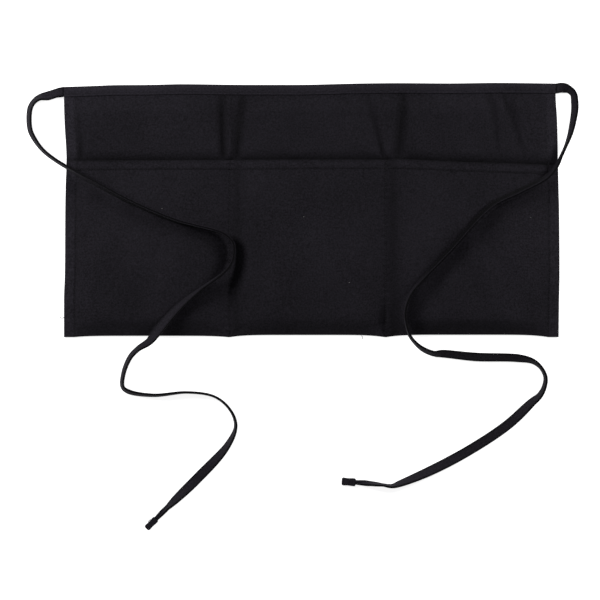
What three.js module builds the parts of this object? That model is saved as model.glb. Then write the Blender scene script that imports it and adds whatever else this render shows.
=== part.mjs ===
// Waist apron with three pockets, laid flat on its back with its ties loose over it.
// One length of twill is folded up along the bottom and stitched to itself, which makes the
// pockets. A folded strip binds the top edge and runs on at both ends as the two ties.
// Millimetres. +X runs to the right across the apron, +Y from the bottom fold to the waistband,
// +Z up from the surface it lies on. The origin is under the middle of the apron.
import * as THREE from 'three';
import { RoundedBoxGeometry } from 'three/addons/geometries/RoundedBoxGeometry.js';
import { mergeVertices } from 'three/addons/utils/BufferGeometryUtils.js';

// The cut and the cloth
const APRON_WIDTH = 610; // between the hemmed sides
const APRON_HEIGHT = 313; // from the bottom fold to the top of the waistband
const CLOTH = 1.0; // one layer of twill
const LAYER_GAP = 0.3; // clearance between two separate pieces of cloth

// Side hems, turned to the back and stitched through both layers
const SIDE_HEM_WIDTH = 13;
const HEM_TURN = 0.9; // thickness that a turned hem adds
const HEM_STEP = 0.4; // width of the step beside the turned cloth
const HEM_SETTLE = 38; // how far inside the hem the cloth comes down to the surface

// Pockets, formed by the cloth that is folded up
const POCKET_DEPTH = 218.5; // bottom fold to the highest point of the mouth
const MOUTH_HEM_WIDTH = 11;
const SEAM_WIDTH = 2.4; // strip that each divider seam holds down
const POCKET_RISE = 8; // free height in the fullest part of a pocket
const FOLD_RISE = 2.4; // free height just inside the bottom fold
const MOUTH_RISE = 6; // free height at the mouth
const PUFF_POWER = 2.7; // 2 is a round pocket from seam to seam, more is a flatter one
const TUCK_POWER = 6; // the same for the bottom edge, which rises sharply beside a seam

// How far the cloth is drawn in from a true rectangle
const SIDE_PULL = 5.2; // at the sides
const TOP_SAG = 5; // down from the straight top edge
const BOTTOM_TUCK = 2.9; // up from the straight bottom edge, between seams
const MOUTH_DROP = 7; // down from the highest point of the mouth

// Waistband and ties: the same folded strip
const BAND_WIDTH = 12.5;
const BAND_FOLD = 1.2; // depth of the rounded fold along its top
const BAND_CLEAR = 1; // how far below the waistband the cloth stays level
const BAND_SETTLE = 30; // how far below that the cloth comes down
const BAND_FADE = 9; // how far below the waistband a crease reaches its height
const TIE_WIDTH = 12.5;
const TIE_THICKNESS = 1.8;
const TIE_EXIT_HEIGHT = 2.2; // middle of the tie where it leaves the waistband
const EXIT_EASE = 30; // first stretch, over which a tie comes down to the surface
const EXIT_RUN = 60; // stretch at the exit that lies beside the apron, not on it
const BRIDGE = 22; // half the stretch over which a tie spans a step under it
const NECK_LENGTH = 34; // last stretch, over which a tie closes lengthwise
const NECK_WIDTH = 5.8;
const NECK_THICKNESS = 3.4;
const TAB_LENGTH = 16; // the turned-back, sewn end of a tie
const LEFT_TAB_WIDTH = 8;
const RIGHT_TAB_WIDTH = 9.6;
const TAB_THICKNESS = 4;
const TAB_EDGE = 1.3; // how far the tab's edges are rounded

// Shares of SIDE_PULL, down the sides from the top
const SIDES = [
  { down: 0.0, left: 0.0, right: 1.0 },
  { down: 0.06, left: 0.0, right: 0.95 },
  { down: 0.15, left: 0.11, right: 0.59 },
  { down: 0.31, left: 0.59, right: 0.41 },
  { down: 0.4, left: 0.41, right: 0.29 },
  { down: 0.5, left: 0.3, right: 0.14 },
  { down: 0.75, left: 0.21, right: 0.04 },
  { down: 0.85, left: 0.0, right: 0.15 },
  { down: 1.0, left: 0.0, right: 0.24 },
];

// Shares of TOP_SAG and MOUTH_DROP, across the apron from the left
const LINES = [
  { across: 0.0, top: 1.0, mouth: 0.25 },
  { across: 0.05, top: 0.8, mouth: 0.22 },
  { across: 0.1, top: 0.56, mouth: 0.2 },
  { across: 0.17, top: 0.5, mouth: 0.18 },
  { across: 0.24, top: 0.32, mouth: 0.14 },
  { across: 0.35, top: 0.48, mouth: 0.09 },
  { across: 0.46, top: 0.5, mouth: 0.06 },
  { across: 0.6, top: 0.15, mouth: 0.02 },
  { across: 0.68, top: 0.06, mouth: 0.0 },
  { across: 0.78, top: 0.13, mouth: 0.38 },
  { across: 0.88, top: 0.0, mouth: 0.66 },
  { across: 1.0, top: 0.16, mouth: 1.0 },
];

// Divider seams as shares of the width, and for each pocket shares of the rises and BOTTOM_TUCK
const SEAMS = [0.333, 0.649];
const FULLNESS = [1.0, 0.94, 1.0];
const TUCKS = [0.55, 0.92, 1.0];

// How far the pockets have swelled from FOLD_RISE to POCKET_RISE, and sunk from there to
// MOUTH_RISE, going up from the fold (0) to the mouth (1)
const SWELL = [
  { up: 0.0, full: 0.0, sunk: 0.0 },
  { up: 0.04, full: 0.45, sunk: 0.0 },
  { up: 0.09, full: 0.75, sunk: 0.0 },
  { up: 0.16, full: 0.92, sunk: 0.0 },
  { up: 0.34, full: 1.0, sunk: 0.0 },
  { up: 0.7, full: 1.0, sunk: 0.4 },
  { up: 1.0, full: 1.0, sunk: 1.0 },
];

// Soft upright creases between waistband and mouth: x at the top and at the mouth as shares of
// the width from the left, half width as a share of the width, height as a share of CLOTH, and
// where the crease starts above the mouth and is fully up, as shares of the way to the waistband
const CREASES = [
  { top: 0.331, mouth: 0.332, half: 0.012, height: 2.4, start: 0.0, full: 0.03 },
  { top: 0.634, mouth: 0.648, half: 0.015, height: 2.0, start: 0.0, full: 0.03 },
  { top: 0.708, mouth: 0.682, half: 0.018, height: 1.6, start: 0.1, full: 0.25 },
  { top: 0.884, mouth: 0.886, half: 0.014, height: 1.5, start: 0.12, full: 0.4 },
  { top: 0.918, mouth: 0.936, half: 0.014, height: 1.2, start: 0.12, full: 0.4 },
];

// Where the lofted sections and their rows lie, as shares
const POCKET_COLUMNS = [0, 0.03, 0.07, 0.13, 0.2, 0.32, 0.5, 0.62, 0.69, 0.74, 0.8, 0.87, 0.93, 0.97, 1];
const POCKET_ROWS = [0, 0.018, 0.045, 0.08, 0.13, 0.2, 0.32, 0.5, 0.68, 0.84];
const UNDER_ROWS = [0, 0.3, 0.65, 0.9];
const UPPER_ROWS = [0.1, 0.25, 0.45, 0.65, 0.82, 0.93, 1];
const FOLD_STEPS = 5; // points round the outside of the bottom fold
const HOLLOW_STEPS = 3; // points round its inside, and round the waistband's fold

// Routes of the ties, each point measured from where the tie leaves the waistband: x outwards to
// the right, y towards the waistband, and the roll of the strip, 0 lying flat and 90 on its edge
const LEFT_ROUTE = [
  [0, 0, 0], [-9, -2, 30], [-19, -5, 26], [-29, -7, 54], [-36, -12, 61], [-41, -21, 60], [-41, -46, 64],
  [-35, -59, 69], [-25, -72, 75], [-12, -82.5, 77], [3, -92, 77], [40, -113, 71], [88, -138, 73],
  [139, -159, 77], [162, -165, 81], [197, -175, 86], [208, -185, 86], [210, -196, 86], [207, -210, 86],
  [199, -221, 85], [169, -243, 75], [143, -264, 46], [116, -294, 16], [106.5, -306.5, 46], [92, -316, 63],
  [82, -326.5, 66], [74, -346, 70], [73, -363, 72], [80, -368.5, 69], [111, -373, 78], [151, -369.5, 85],
  [181, -373, 85], [194.5, -380, 84], [204.5, -390.5, 83], [210.5, -402, 81], [211.5, -414, 78], [200.5, -436.5, 54],
  [165, -475, 0], [127.5, -511.5, 62], [113, -526, 0],
];
const RIGHT_ROUTE = [
  [0, 0, 0], [8, 1, 8], [16, -1.5, 54], [21.5, -7, 60], [23, -17, 55], [23, -27, 56], [19, -49.5, 66],
  [16, -60, 75], [11.5, -71.5, 84], [6, -83.5, 84], [0, -96, 77], [-13, -110, 68], [-47, -128, 58],
  [-80, -145, 55], [-132, -201, 68], [-165, -235, 73], [-178, -251, 78],
  [-184, -265, 83], [-186, -279, 86], [-181, -302, 83], [-173.5, -312.5, 79], [-163, -321, 68],
  [-150, -326, 64], [-139, -326, 44], [-99, -330, 35], [-47, -331.5, 42], [-28.5, -335.5, 67],
  [-18.5, -343.5, 80], [-13, -355, 80], [-14.5, -367, 75], [-20, -377.5, 65], [-29, -385.5, 46], [-59.5, -414, 0],
  [-108, -446, 0], [-157, -471.5, 28], [-192, -486, 60], [-202, -489, 78], [-213, -487.5, 85],
  [-228, -486, 66], [-247.5, -484.5, 0],
];
const STEPS_PER_POINT = 2; // tie sections between two points of a route
const SAMPLES_PER_POINT = 8; // places between two points where the surface under a tie is read

// A smooth curve through one column of a table, read at any value of its first column
function curveThrough(rows, key, column) {
  const slope = (i) => {
    const before = rows[Math.max(i - 1, 0)];
    const after = rows[Math.min(i + 1, rows.length - 1)];
    const turns = (after[column] - rows[i][column]) * (rows[i][column] - before[column]) <= 0;
    const inside = i > 0 && i < rows.length - 1;
    return inside && turns ? 0 : (after[column] - before[column]) / (after[key] - before[key]);
  };
  return (at) => {
    const held = Math.min(Math.max(at, rows[0][key]), rows[rows.length - 1][key]);
    const i = Math.max(0, Math.min(rows.length - 2, rows.findLastIndex((row) => row[key] <= held)));
    const span = rows[i + 1][key] - rows[i][key];
    const t = (held - rows[i][key]) / span;
    const rise = (3 - 2 * t) * t * t;
    const from = t * (1 - t) * (1 - t) * span * slope(i);
    const to = t * t * (1 - t) * span * slope(i + 1);
    return rows[i][column] * (1 - rise) + rows[i + 1][column] * rise + from - to;
  };
}

const leftPull = curveThrough(SIDES, 'down', 'left');
const rightPull = curveThrough(SIDES, 'down', 'right');
const topSag = curveThrough(LINES, 'across', 'top');
const mouthDrop = curveThrough(LINES, 'across', 'mouth');

// 1 at zero distance, easing to 0 at the full reach
function settle(distance, reach) {
  const t = Math.min(Math.max(distance / reach, 0), 1);
  return 1 - (3 - 2 * t) * t * t;
}

// Places on the flat cloth: "c" is x before the sides are drawn in
const halfWidth = APRON_WIDTH / 2;
const halfHeight = APRON_HEIGHT / 2;
const acrossShare = (c) => (c + halfWidth) / APRON_WIDTH;
const drawnIn = (c, y) => {
  const down = (halfHeight - y) / APRON_HEIGHT;
  const inward = c < 0 ? leftPull(down) : -rightPull(down);
  return c + (SIDE_PULL * inward * Math.abs(c)) / halfWidth;
};
const topEdge = (c) => halfHeight - TOP_SAG * topSag(acrossShare(c));
const bandBottom = (c) => topEdge(c) - BAND_WIDTH;
const levelLine = (c) => bandBottom(c) - BAND_CLEAR;
const panelTop = (c) => topEdge(c) - CLOTH - LAYER_GAP;
const mouthLine = (c) => POCKET_DEPTH - halfHeight - MOUTH_DROP * mouthDrop(acrossShare(c));

const hemInner = halfWidth - SIDE_HEM_WIDTH;
const seamPlaces = SEAMS.map((share) => share * APRON_WIDTH - halfWidth);
const POCKETS = FULLNESS.map((fullness, i) => ({
  left: i === 0 ? -hemInner : seamPlaces[i - 1] + SEAM_WIDTH / 2,
  right: i === SEAMS.length ? hemInner : seamPlaces[i] - SEAM_WIDTH / 2,
  fullness,
  tuck: TUCKS[i],
}));

// How far the front cloth stands off at c: 0 at a seam, the given share in a pocket's middle
function puff(c, share = 'fullness', power = PUFF_POWER) {
  const pocket = POCKETS.find((p) => c > p.left && c < p.right);
  if (!pocket) return 0;
  const sideways = Math.abs((2 * c - pocket.left - pocket.right) / (pocket.right - pocket.left));
  return pocket[share] * (1 - sideways ** power);
}
const bottomEdge = (c) => BOTTOM_TUCK * puff(c, 'tuck', TUCK_POWER) - halfHeight;

// Free height between the layers, up the pocket. It swells quickly above the fold.
const swell = curveThrough(SWELL, 'up', 'full');
const sink = curveThrough(SWELL, 'up', 'sunk');
const freeHeight = (up) =>
  FOLD_RISE + (POCKET_RISE - FOLD_RISE) * swell(up) + (MOUTH_RISE - POCKET_RISE) * sink(up);

// Upright creases, fading out under the waistband and at the foot
function creases(c, y) {
  const up = (y - mouthLine(c)) / (levelLine(c) - mouthLine(c));
  if (up <= 0 || up >= 1) return 0;
  const underBand = 1 - settle(levelLine(c) - y, BAND_FADE);
  const lines = CREASES.map((crease) => {
    const middle = (crease.mouth + (crease.top - crease.mouth) * up) * APRON_WIDTH - halfWidth;
    const foot = 1 - settle(up - crease.start, crease.full - crease.start);
    return crease.height * CLOTH * foot * settle(Math.abs(c - middle), crease.half * APRON_WIDTH);
  });
  return underBand * Math.max(...lines);
}

// Heights of the cloth above the surface it lies on
const hemRest = (c) => HEM_TURN * settle(hemInner - Math.abs(c), HEM_SETTLE);
const bandRest = (c, y) => (CLOTH + LAYER_GAP) * settle(levelLine(c) - y, BAND_SETTLE);
const backTop = (c, y) => bandRest(c, y) + hemRest(c) + creases(c, y) + CLOTH;
const rise = (c, up) => puff(c) * freeHeight(up);
const mouthTurn = (c, y) => (y > mouthLine(c) - MOUTH_HEM_WIDTH ? HEM_TURN : 0);
const upPocket = (c, y) => (y - bottomEdge(c)) / (mouthLine(c) - bottomEdge(c));
const frontTop = (c, y) => backTop(c, y) + rise(c, upPocket(c, y)) + CLOTH + mouthTurn(c, y);
const bandTop = (c) => backTop(c, bandBottom(c)) + LAYER_GAP + CLOTH;

// The apron's upper surface at x, y, or the surface it lies on outside it
function restingHeight(x, y) {
  const c = Math.max(-halfWidth, Math.min(halfWidth, x));
  const outside = Math.abs(x) > halfWidth || y > topEdge(c) || y < -halfHeight;
  if (outside) return 0;
  if (y > bandBottom(c)) return bandTop(c);
  return y > mouthLine(c) ? backTop(c, y) : frontTop(c, y);
}

// Points round a half turn from low to high that bulges by depth along Y, its two ends left out
function turnPoints(y, depth, low, high, count) {
  return Array.from({ length: count }, (_, i) => {
    const angle = (Math.PI * (i + 1)) / (count + 1);
    return [y + depth * Math.sin(angle), (low + high) / 2 - ((high - low) / 2) * Math.cos(angle)];
  });
}

// One section of the folded cloth across Y and Z, at place c on its width. Outer chain: down the
// underside, round the fold and up the front. Inner chain: the pocket's hollow. Last: the cloth
// above the mouth. At a seam or hem the two sides of the hollow come together.
function panelSection(c, turned) {
  const mouth = mouthLine(c);
  const under = (y) => backTop(c, y) - CLOTH - (turned ? HEM_TURN : 0);
  const foldHigh = backTop(c, bottomEdge(c)) + rise(c, 0) + CLOTH;
  const foldLow = under(bottomEdge(c));
  const foldDepth = (foldHigh - foldLow) / 2;
  const foldY = bottomEdge(c) + foldDepth;
  const inPocket = (share) => foldY + share * (mouth - foldY);
  const upwards = UPPER_ROWS.map((share) => mouth + share * (levelLine(c) - mouth));
  const above = [...upwards, panelTop(c)];
  const pocketRows = POCKET_ROWS.map(inPocket);
  const hemRows = [mouth - MOUTH_HEM_WIDTH - HEM_STEP, mouth - MOUTH_HEM_WIDTH + HEM_STEP, mouth];
  const hollowHigh = (y, share) => backTop(c, y) + rise(c, share);
  const frontRows = [...pocketRows.filter((y) => y < hemRows[0]), ...hemRows];
  const share = (y) => (y - foldY) / (mouth - foldY);
  const front = frontRows.map((y) => [y, hollowHigh(y, share(y)) + CLOTH + mouthTurn(c, y)]);
  const ceiling = frontRows.map((y) => [y, hollowHigh(y, share(y))]);
  const floor = frontRows.map((y) => [y, backTop(c, y)]);
  const underside = [...UNDER_ROWS.map(inPocket), mouth, ...above].reverse().map((y) => [y, under(y)]);
  const outerTurn = turnPoints(foldY, -foldDepth, foldLow, foldHigh, FOLD_STEPS);
  const hollowEnds = [backTop(c, foldY), hollowHigh(foldY, 0)];
  const innerTurn = turnPoints(foldY, -rise(c, 0) / 2, ...hollowEnds, HOLLOW_STEPS);
  const upper = above.map((y) => [y, backTop(c, y)]);
  const outer = [...underside, ...outerTurn, ...front];
  const inner = [...ceiling.reverse(), ...innerTurn.reverse(), ...floor];
  return { c, outer, inner, upper };
}

// Sections from the left edge to the right, and whether the strip before each one is stitched
function panelColumns() {
  const columns = [
    { c: -halfWidth, turned: true },
    { c: -hemInner - HEM_STEP, turned: true, stitched: true },
  ];
  POCKETS.forEach((pocket) => {
    POCKET_COLUMNS.forEach((share, i) => {
      columns.push({ c: pocket.left + share * (pocket.right - pocket.left), stitched: i === 0 });
    });
  });
  columns.push({ c: hemInner + HEM_STEP, turned: true, stitched: true });
  columns.push({ c: halfWidth, turned: true, stitched: true });
  return columns;
}

// A closed geometry from rows of corners and the triangles between them
function closedGeometry(corners, triangles) {
  const geometry = new THREE.BufferGeometry();
  geometry.setAttribute('position', new THREE.Float32BufferAttribute(corners.flat(), 3));
  geometry.setIndex(triangles.flat());
  const merged = mergeVertices(geometry, 1e-4);
  merged.computeVertexNormals();
  return merged;
}

// Joins two neighbouring sections of equally many corners with a ring of faces
function ringBetween(first, second, count, skip = () => false) {
  const faces = [];
  for (let k = 0; k < count; k += 1) {
    const next = (k + 1) % count;
    if (!skip(k)) {
      faces.push([first + k, second + k, second + next], [first + k, second + next, first + next]);
    }
  }
  return faces;
}

// Triangles that close a section, seen from one side
function capOf(outline, indexOf, flipped) {
  const contour = outline.map(([u, v]) => new THREE.Vector2(u, v));
  const faces = THREE.ShapeUtils.triangulateShape(contour, []);
  return faces.map(([a, b, d]) => {
    const face = [indexOf(a), indexOf(b), indexOf(d)];
    return flipped ? face : face.reverse();
  });
}

// Triangles that close the panel's side: rungs between underside and front, upwards from the fold
function sideOf(outline, indexOf, flipped) {
  const fold = outline.reduce((lowest, [y], k) => (y < outline[lowest][0] ? k : lowest), 0);
  const faces = [];
  let under = fold - 1;
  let front = fold;
  while (under > 0 || front < outline.length - 1) {
    const frontDone = front === outline.length - 1;
    const stepUnder = frontDone || (under > 0 && outline[under - 1][0] <= outline[front + 1][0]);
    const next = stepUnder ? under - 1 : front + 1;
    const face = [indexOf(under), indexOf(front), indexOf(next)];
    faces.push(flipped ? face.reverse() : face);
    if (stepUnder) under = next;
    else front = next;
  }
  return faces;
}

// The apron cloth: back, bottom fold and pocket front in one solid with three open pockets
function apronPanel() {
  const columns = panelColumns();
  const sections = columns.map(({ c, turned }) => panelSection(c, turned));
  const corners = [];
  const triangles = [];
  const outerCount = sections[0].outer.length;
  const innerCount = sections[0].inner.length;
  const count = outerCount + innerCount + sections[0].upper.length;
  sections.forEach(({ c, outer, inner, upper }) => {
    [...outer, ...inner, ...upper].forEach(([y, z]) => corners.push([drawnIn(c, y), y, z]));
  });
  for (let i = 1; i < sections.length; i += 1) {
    const hollow = (k) => k >= outerCount && k < outerCount + innerCount - 1;
    const skip = columns[i].stitched ? hollow : () => false;
    triangles.push(...ringBetween((i - 1) * count, i * count, count, skip));
  }
  const last = sections.length - 1;
  [sections[0], sections[last]].forEach(({ outer, inner, upper }, end) => {
    const outline = [...outer, inner[innerCount - 1], ...upper];
    const start = (end === 0 ? 0 : last) * count;
    const indexOf = (k) => start + (k < outerCount ? k : k + innerCount - 1);
    triangles.push(...sideOf(outline, indexOf, end === 1));
  });
  return closedGeometry(corners, triangles);
}

// The waistband: a folded strip, open along its lower edge, that the panel's top edge sits in
function waistband() {
  const sections = panelColumns().map(({ c }) => {
    const low = bandBottom(c);
    const crease = topEdge(c) - BAND_FOLD;
    const inside = panelTop(c) + LAYER_GAP;
    const high = bandTop(c);
    const fold = turnPoints(crease, BAND_FOLD, 0, high, HOLLOW_STEPS);
    const front = [[crease, high], [low, high], [low, high - CLOTH], [inside, high - CLOTH]];
    const back = [[inside, CLOTH], [low, CLOTH], [low, 0], [crease, 0]];
    return { c, outline: [...fold, ...front, ...back] };
  });
  const count = sections[0].outline.length;
  const corners = sections.flatMap(({ c, outline }) => outline.map(([y, z]) => [drawnIn(c, y), y, z]));
  const triangles = [];
  for (let i = 1; i < sections.length; i += 1) {
    triangles.push(...ringBetween(i * count, (i - 1) * count, count));
  }
  const last = sections.length - 1;
  triangles.push(...capOf(sections[0].outline, (k) => k, false));
  triangles.push(...capOf(sections[last].outline, (k) => last * count + k, true));
  return closedGeometry(corners, triangles);
}

// Where a tie leaves the waistband, on the left (-1) or the right (1)
function tieExit(side) {
  const c = side * halfWidth;
  const reach = Math.max(...[topEdge(c), bandBottom(c)].map((y) => Math.abs(drawnIn(c, y))));
  return new THREE.Vector3(side * (reach + LAYER_GAP), topEdge(c) - BAND_WIDTH / 2, TIE_EXIT_HEIGHT);
}

// The middle line of a tie with its heading, roll and size at each section. Its height is that of
// what it lies on, taken over a stretch to both sides, so that it bridges steps as a strip does.
function tieLine(route, side) {
  const exit = tieExit(side);
  const spans = route.length - 1;
  const flat = route.map(([x, y]) => new THREE.Vector3(exit.x + x, exit.y + y, 0));
  const curve = new THREE.CatmullRomCurve3(flat, false, 'centripetal');
  const placeAt = (at) => {
    const from = Math.min(Math.floor(at), spans - 1);
    const degrees = THREE.MathUtils.lerp(route[from][2], route[from + 1][2], at - from);
    const heading = at === 0 ? new THREE.Vector3(side, 0, 0) : curve.getTangent(at / spans);
    const sideways = new THREE.Vector3(-heading.y, heading.x, 0).normalize();
    const roll = THREE.MathUtils.degToRad(degrees);
    return { point: curve.getPoint(at / spans), heading, sideways, roll };
  };
  const samples = spans * SAMPLES_PER_POINT + 1;
  const fine = Array.from({ length: samples }, (_, i) => placeAt(i / SAMPLES_PER_POINT));
  fine.forEach((place, i) => {
    place.run = i === 0 ? 0 : fine[i - 1].run + place.point.distanceTo(fine[i - 1].point);
  });
  const total = fine[fine.length - 1].run;
  const near = (run) => fine.filter((place) => Math.abs(place.run - run) <= BRIDGE);
  fine.forEach((place) => {
    const heights = [-1, -0.5, 0, 0.5, 1].map((share) => {
      const spot = place.point.clone().addScaledVector(place.sideways, (share * TIE_WIDTH) / 2);
      return restingHeight(spot.x, spot.y);
    });
    place.under = place.run < EXIT_RUN ? 0 : Math.max(...heights);
  });
  fine.forEach((place) => {
    place.bridged = Math.max(...near(place.run).map(({ under }) => under));
  });
  return fine
    .filter((_, i) => i % (SAMPLES_PER_POINT / STEPS_PER_POINT) === 0)
    .map((place) => {
      const closed = settle(total - place.run, NECK_LENGTH);
      const width = THREE.MathUtils.lerp(TIE_WIDTH, NECK_WIDTH, closed);
      const thickness = THREE.MathUtils.lerp(TIE_THICKNESS, NECK_THICKNESS, closed);
      const around = near(place.run);
      const rest = around.reduce((sum, { bridged }) => sum + bridged, 0) / around.length;
      const tall = (width * Math.sin(place.roll) + thickness * Math.cos(place.roll)) / 2;
      const lifted = exit.z * settle(place.run, EXIT_EASE);
      place.point.z = Math.max((rest > 0 ? rest + LAYER_GAP : 0) + tall, lifted);
      return { ...place, width, thickness };
    });
}

// Corners of a tie's section: a strip with eased edges
function stripOutline(width, thickness) {
  const half = width / 2;
  const thin = thickness / 2;
  const edge = thickness / 3;
  return [
    [half, -thin / 2], [half, thin / 2], [half - edge, thin], [edge - half, thin],
    [-half, thin / 2], [-half, -thin / 2], [edge - half, -thin], [half - edge, -thin],
  ];
}

// A tie: a flat strip, rolled as it goes and closed lengthwise where it meets its sewn end
function tie(route, side) {
  const places = tieLine(route, side);
  const up = new THREE.Vector3(0, 0, 1);
  const corners = places.flatMap(({ point, sideways, roll, width, thickness }) => {
    const across = sideways.clone().multiplyScalar(Math.cos(roll)).addScaledVector(up, Math.sin(roll));
    const out = sideways.clone().multiplyScalar(-Math.sin(roll)).addScaledVector(up, Math.cos(roll));
    return stripOutline(width, thickness).map(([a, b]) =>
      point.clone().addScaledVector(across, a).addScaledVector(out, b).toArray(),
    );
  });
  const outline = stripOutline(TIE_WIDTH, TIE_THICKNESS);
  const count = outline.length;
  const triangles = [];
  for (let i = 1; i < places.length; i += 1) {
    triangles.push(...ringBetween(i * count, (i - 1) * count, count));
  }
  triangles.push(...capOf(outline, (k) => k, false));
  triangles.push(...capOf(outline, (k) => (places.length - 1) * count + k, true));
  return closedGeometry(corners, triangles);
}

// The end of a tie, turned back on itself and sewn down, in line with the last stretch
function tieEnd(route, side, width) {
  const { point, heading } = tieLine(route, side).pop();
  const geometry = new RoundedBoxGeometry(TAB_LENGTH, width, TAB_THICKNESS, 2, TAB_EDGE);
  geometry.translate(TAB_LENGTH / 2 + LAYER_GAP, 0, TAB_THICKNESS / 2);
  geometry.rotateZ(Math.atan2(heading.y, heading.x));
  geometry.translate(point.x, point.y, 0);
  return geometry;
}

const twill = new THREE.MeshStandardMaterial({ color: 0x232226, roughness: 0.92, metalness: 0 });
const bindingTwill = new THREE.MeshStandardMaterial({ color: 0x262529, roughness: 0.88, metalness: 0 });
const tieTwill = new THREE.MeshStandardMaterial({ color: 0x242327, roughness: 0.85, metalness: 0 });

function piece(name, geometry, material) {
  const mesh = new THREE.Mesh(geometry, material);
  mesh.name = name;
  return mesh;
}

const apron = new THREE.Group();
apron.add(piece('apron_panel', apronPanel(), twill));
apron.add(piece('waistband', waistband(), bindingTwill));
[
  { name: 'left', route: LEFT_ROUTE, side: -1, tabWidth: LEFT_TAB_WIDTH },
  { name: 'right', route: RIGHT_ROUTE, side: 1, tabWidth: RIGHT_TAB_WIDTH },
].forEach(({ name, route, side, tabWidth }) => {
  apron.add(piece(`tie_${name}`, tie(route, side), tieTwill));
  apron.add(piece(`tie_end_${name}`, tieEnd(route, side, tabWidth), tieTwill));
});

export default apron;
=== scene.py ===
# A waist apron of black twill with three pockets, laid flat on its back, seen from above.
# It is built in the order in which it is sewn: cloth, waistband, ties, then the threads.
import math

import bmesh
import bpy
import numpy as np
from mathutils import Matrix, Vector


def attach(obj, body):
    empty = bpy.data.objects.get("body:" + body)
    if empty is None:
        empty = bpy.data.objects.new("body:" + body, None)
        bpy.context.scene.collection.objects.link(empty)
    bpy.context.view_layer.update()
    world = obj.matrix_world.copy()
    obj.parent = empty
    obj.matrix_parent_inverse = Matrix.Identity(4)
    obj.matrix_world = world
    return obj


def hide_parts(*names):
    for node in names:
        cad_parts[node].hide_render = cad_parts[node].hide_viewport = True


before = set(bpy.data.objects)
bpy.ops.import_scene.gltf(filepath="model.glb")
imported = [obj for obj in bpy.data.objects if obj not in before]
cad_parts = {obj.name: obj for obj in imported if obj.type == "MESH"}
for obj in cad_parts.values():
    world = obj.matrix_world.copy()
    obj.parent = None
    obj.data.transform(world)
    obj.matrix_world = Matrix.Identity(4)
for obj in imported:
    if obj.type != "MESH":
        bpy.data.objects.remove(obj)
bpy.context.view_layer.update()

# The cloth. One length of black cotton and polyester twill, about 1 mm thick. Its lower part is
# folded up over the front and sewn down at the sides and along two seams, which makes the three
# pockets. The side hems are turned to the back and the hem of the pocket mouth is turned inside.
apron_width = 0.610
apron_height = 0.313
cloth = 0.001
layer_gap = 0.0003
side_hem_width = 0.013
hem_turn = 0.0009
mouth_hem_turn = 0.00054
hem_step = 0.0008
hem_settle = 0.038
pocket_depth = 0.2185
mouth_hem_width = 0.011
seam_width = 0.0024
pocket_rise = 0.012
fold_rise = 0.0024
mouth_rise = 0.006
puff_power = 4
tuck_power = 6
side_pull = 0.0052
top_sag = 0.005
bottom_tuck = 0.0029
mouth_drop = 0.007
band_width = 0.0125
band_clear = 0.001
band_settle = 0.030
band_fade = 0.009

# Shares of side_pull down each side, and of top_sag and mouth_drop across the apron
sides = {
    "down": [0, 0.06, 0.15, 0.31, 0.4, 0.5, 0.75, 0.85, 1],
    "left": [0, 0, 0.11, 0.59, 0.41, 0.3, 0.21, 0, 0],
    "right": [1, 0.95, 0.59, 0.41, 0.29, 0.14, 0.04, 0.15, 0.24],
}
lines = {
    "across": [0, 0.05, 0.1, 0.17, 0.24, 0.35, 0.46, 0.6, 0.68, 0.78, 0.88, 1],
    "top": [1, 0.8, 0.56, 0.5, 0.32, 0.48, 0.5, 0.15, 0.06, 0.13, 0, 0.16],
    "mouth": [0.25, 0.22, 0.2, 0.18, 0.14, 0.09, 0.06, 0.02, 0, 0.38, 0.66, 1],
}
# How far a pocket has swelled from fold_rise to pocket_rise, and sunk again to mouth_rise
swelling = {
    "up": [0, 0.03, 0.07, 0.095, 0.16, 0.34, 0.7, 1],
    "full": [0, 0.33, 0.8, 0.92, 0.96, 1, 1, 1],
    "sunk": [0, 0, 0, 0, 0, 0, 0.4, 1],
}
seams = [0.333, 0.649]
fullness = [1, 0.94, 1]
tucks = [0.55, 0.92, 1]
# Upright creases: place at waistband and mouth and half width, as shares of the width, height in
# layers of cloth, and where each one starts above the mouth and is fully up
creases = [
    (0.331, 0.332, 0.012, 2.4, 0, 0.03),
    (0.634, 0.648, 0.015, 2.0, 0, 0.03),
    (0.708, 0.682, 0.018, 1.6, 0.1, 0.25),
    (0.884, 0.886, 0.014, 1.5, 0.12, 0.4),
    (0.918, 0.936, 0.014, 1.2, 0.12, 0.4),
]


def curve_through(table, key, column):
    """A smooth curve through one column of a table, read at any value of its key column."""
    at = np.array(table[key], dtype=float)
    value = np.array(table[column], dtype=float)
    before = np.maximum(np.arange(len(at)) - 1, 0)
    after = np.minimum(np.arange(len(at)) + 1, len(at) - 1)
    slope = (value[after] - value[before]) / (at[after] - at[before])
    turns = (value[after] - value) * (value - value[before]) <= 0
    turns[[0, -1]] = False
    slope[turns] = 0

    def curve(place):
        held = np.clip(place, at[0], at[-1])
        i = np.clip(np.searchsorted(at, held, side="right") - 1, 0, len(at) - 2)
        span = at[i + 1] - at[i]
        t = (held - at[i]) / span
        rise = (3 - 2 * t) * t * t
        bend = t * (1 - t) ** 2 * span * slope[i] - t * t * (1 - t) * span * slope[i + 1]
        return value[i] * (1 - rise) + value[i + 1] * rise + bend

    return curve


left_pull = curve_through(sides, "down", "left")
right_pull = curve_through(sides, "down", "right")
top_share = curve_through(lines, "across", "top")
mouth_share = curve_through(lines, "across", "mouth")
swell = curve_through(swelling, "up", "full")
sink = curve_through(swelling, "up", "sunk")

half_width = apron_width / 2
half_height = apron_height / 2
hem_inner = half_width - side_hem_width
seam_places = [share * apron_width - half_width for share in seams]
pocket_lefts = [-hem_inner] + [place + seam_width / 2 for place in seam_places]
pocket_rights = [place - seam_width / 2 for place in seam_places] + [hem_inner]


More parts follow.
